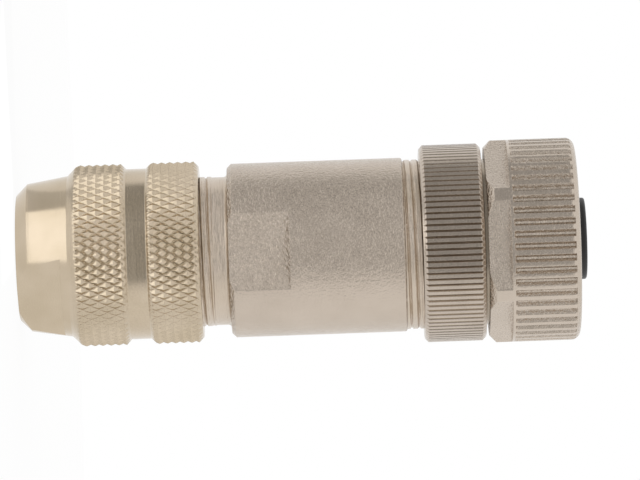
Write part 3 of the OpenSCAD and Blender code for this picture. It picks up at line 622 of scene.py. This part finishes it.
def ridge_tree():
    """Even grooves along the axis, with flat lands between them and a flat or pointed floor. A cast
    groove is lumpy at its floor and hardly at its lands."""
    lump_size = 0.3 * MM
    lumpy_up_to = 1.05
    tree, given = new_cutting_tree("straight_knurl", ["Tip radius", "Depth", "Ridges", "Groove share",
                                                      "Floor share", "Rounding", "Cast unevenness",
                                                      "From", "To"])
    math_of = sums(tree)
    radius, angle, _, _, z = polar(tree)
    size = given.outputs
    turns = math_of("MULTIPLY", angle, math_of("DIVIDE", size["Ridges"], 2 * math.pi))
    phase = math_of("FRACT", math_of("ADD", turns, 1000))
    off = math_of("MULTIPLY", math_of("ABSOLUTE", math_of("SUBTRACT", phase, 0.5)), 2)
    flank = math_of("DIVIDE", math_of("SUBTRACT", off, size["Floor share"]),
                    math_of("SUBTRACT", size["Groove share"], size["Floor share"]))
    height = math_of("SMOOTH_MIN", math_of("SMOOTH_MAX", flank, 0, size["Rounding"]), 1, size["Rounding"])
    lump = put(tree, "ShaderNodeTexNoise", {"Scale": 1 / lump_size, "Detail": 2.0}).outputs["Fac"]
    uneven = math_of("MULTIPLY", math_of("SUBTRACT", lump, 0.5), size["Cast unevenness"])
    height = math_of("ADD", height, math_of("MULTIPLY", uneven, math_of("SUBTRACT", lumpy_up_to, height)))
    cut_r = math_of("SUBTRACT", size["Tip radius"], math_of("MULTIPLY", size["Depth"],
                                                            math_of("SUBTRACT", 1, height)))
    outside = math_of("GREATER_THAN", radius, math_of("SUBTRACT", size["Tip radius"], 1.0 * MM))
    where = math_of("MULTIPLY", within(tree, z, size["From"], size["To"]), outside)
    end_cutting_tree(tree, given, math_of("MINIMUM", radius, cut_r), where)
    return tree


turned_nickel = plating("turned_nickel", (0.55, 0.475, 0.40), (0.50, 0.43, 0.36),
                        skin=Finish(0.008 * MM, 0.16 * MM, 0.010 * MM, 0.12 * MM, 0.20, pits=0.3))
outline = eased([(ring_bore_r, ring_low.z), (ring_r - ring_chamfer, ring_low.z),
                 (ring_r, ring_low.z + ring_chamfer), (ring_r, ring_high.z - ring_chamfer),
                 (ring_r - ring_chamfer, ring_high.z), (ring_lip_r, ring_high.z),
                 (ring_lip_r, ring_high.z - ring_lip_t), (ring_bore_r, ring_high.z - ring_lip_t)], 0.08 * MM)
row = 0.05 * MM
end_len = ring_chamfer * 1.2
ring_inside_r = ring_bore_r + 0.3 * MM
outline = finely(outline, row, ring_low.z, ring_low.z + end_len, beyond=ring_inside_r)
outline = finely(outline, row, ring_high.z - end_len, ring_high.z, beyond=ring_inside_r)
threaded_ring = turned("threaded_ring_turned", outline, ring_ridges * columns_in_groove)
ridges = ridge_tree()
worked(threaded_ring, ridges, turned_nickel,
       {"Tip radius": ring_r, "Depth": ring_groove_depth, "Ridges": ring_ridges, "Groove share": 0.36,
        "Floor share": 0.0, "Rounding": 0.12, "Cast unevenness": 0.0, "From": ring_low.z, "To": ring_high.z})
finished(threaded_ring, turned_nickel, "threaded_ring", ["threaded_ring"])

# ---------------------------------------------------------------------------
# Coupling nut
# A plated nut with a hexagon at the rear and cast grip grooves that start behind a thin rim. Its front
# has a plain bore, as narrow as the coupling thread at its crests.
# ---------------------------------------------------------------------------
nut_low, nut_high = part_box("coupling_nut")
nut_r = (nut_high.x - nut_low.x) / 2
nut_hex_af = 17.9 * MM
nut_hex_len = 2.2 * MM
nut_hex_turn = math.radians(-87.6)
nut_rear_chamfer = 0.66 * MM
nut_front_round = 0.85 * MM
nut_grooves = 52
nut_groove_depth = 0.38 * MM
nut_rim = 0.28 * MM
nut_front_rim = 0.5 * MM
nut_lead_in = 0.75 * MM
nut_bore_r = 5.459 * MM
nut_cavity_r = 7.5 * MM
snap_recess_r = 8.2 * MM
z_snap_end = 47.215 * MM
z_coupling = 49.165 * MM

nut_nickel = plating("nut_nickel", (0.575, 0.497, 0.42), (0.54, 0.465, 0.388),
                     skin=Finish(0.0, 0.2 * MM, 0.030 * MM, 0.25 * MM, 0.24, pits=0.0),
                     under=Finish(0.0, 0.2 * MM, 0.085 * MM, 0.25 * MM, 0.26, pits=0.15),
                     skin_r=nut_r - 0.05 * MM, edge=0.08 * MM)
outline = [(snap_recess_r, nut_low.z), (nut_r - nut_rear_chamfer, nut_low.z),
           (nut_r, nut_low.z + nut_rear_chamfer)]
outline += [(nut_r - nut_front_round * (1 - math.cos(a)), nut_high.z - nut_front_round * (1 - math.sin(a)))
            for a in np.linspace(0, math.pi / 2, 9)]
outline += [(nut_bore_r + nut_lead_in, nut_high.z), (nut_bore_r, nut_high.z - nut_lead_in),
            (nut_bore_r, z_coupling), (nut_cavity_r, z_coupling), (nut_cavity_r, z_snap_end),
            (snap_recess_r, z_snap_end)]
outline = eased(outline, 0.1 * MM)
z_grip = nut_low.z + nut_hex_len + nut_rim
nut_inside_r = nut_bore_r * 1.5
outline = finely(outline, 0.12 * MM, z_grip, nut_high.z - nut_front_round, beyond=nut_inside_r)
outline = finely(outline, 0.06 * MM, nut_high.z - nut_front_round, nut_high.z, beyond=nut_inside_r)
coupling_nut = turned("coupling_nut_cast", outline, nut_grooves * columns_in_groove)
milled(coupling_nut, flats(nut_hex_af, nut_r * 0.75, nut_low.z - MM, nut_low.z + nut_hex_len,
                           nut_hex_turn, 6))
worked(coupling_nut, ridges, nut_nickel,
       {"Tip radius": nut_r, "Depth": nut_groove_depth, "Ridges": nut_grooves, "Groove share": 0.62,
        "Floor share": 0.2, "Rounding": 0.12, "Cast unevenness": 0.25, "From": z_grip + 0.01 * MM,
        "To": nut_high.z - nut_front_rim})
finished(coupling_nut, nut_nickel, "coupling_nut", ["coupling_nut"])

# ---------------------------------------------------------------------------
# Inner pieces
# Plastic insert and clamping ring, rubber seals, steel and nickel-plated rings and gold-plated contacts.
# They keep their solids, and each gets a finish of its own kind.
# ---------------------------------------------------------------------------


def moulded(name, colour, roughness, speckle):
    """Glass-filled plastic or rubber: nearly even colour, a faint texture and a soft sheen."""
    material = new_shader(name)
    tree = material.node_tree
    place = put(tree, "ShaderNodeTexCoord").outputs["Object"]
    fine = put(tree, "ShaderNodeTexNoise", {"Vector": place, "Scale": 1 / (0.12 * MM), "Detail": 3.0})
    tone = put(tree, "ShaderNodeMix", {0: fine.outputs["Fac"], 6: (*[c * 0.7 for c in colour], 1),
                                       7: (*[c * 1.3 for c in colour], 1)}, data_type="RGBA")
    sheen = put(tree, "ShaderNodeMapRange", {"Value": fine.outputs["Fac"], "To Min": roughness - 0.1,
                                             "To Max": roughness + 0.1})
    skin = put(tree, "ShaderNodeBump", {"Height": fine.outputs["Fac"], "Strength": 1.0, "Distance": speckle})
    plastic = put(tree, "ShaderNodeBsdfPrincipled", {"Base Color": tone.outputs[2],
                                                     "Roughness": sheen.outputs[0],
                                                     "Normal": skin.outputs[0]})
    put(tree, "ShaderNodeOutputMaterial", {"Surface": plastic.outputs[0]})
    return material


black_plastic = moulded("black_plastic", (0.012, 0.012, 0.013), 0.45, 0.004 * MM)
grey_plastic = moulded("grey_plastic", (0.06, 0.06, 0.065), 0.5, 0.004 * MM)
black_rubber = moulded("black_rubber", (0.02, 0.02, 0.022), 0.7, 0.003 * MM)
plain_turned = Finish(0.003 * MM, 0.1 * MM, 0.001 * MM, 0.1 * MM, 0.24, pits=0.0)
contact_gold = plating("contact_gold", (0.80, 0.62, 0.30), (0.74, 0.55, 0.25), plain_turned)
spring_steel = plating("spring_steel", (0.42, 0.36, 0.29), (0.36, 0.30, 0.23), plain_turned)

inner_finish = {"pinch_ring": grey_plastic, "cable_seal": black_rubber, "thrust_washer": spring_steel,
                "shield_ring": turned_nickel, "housing_o_ring": black_rubber, "insert_holder": turned_nickel,
                "snap_ring": spring_steel, "face_seal": black_rubber, "carrier_seal": black_rubber,
                "contact_carrier": black_plastic, "terminal_block": black_plastic,
                "terminal_screws": spring_steel}
inner_finish.update({f"contact_{i}": contact_gold for i in range(1, 5)})
for name, finish in inner_finish.items():
    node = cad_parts[name]
    node.data.materials.clear()
    node.data.materials.append(finish)
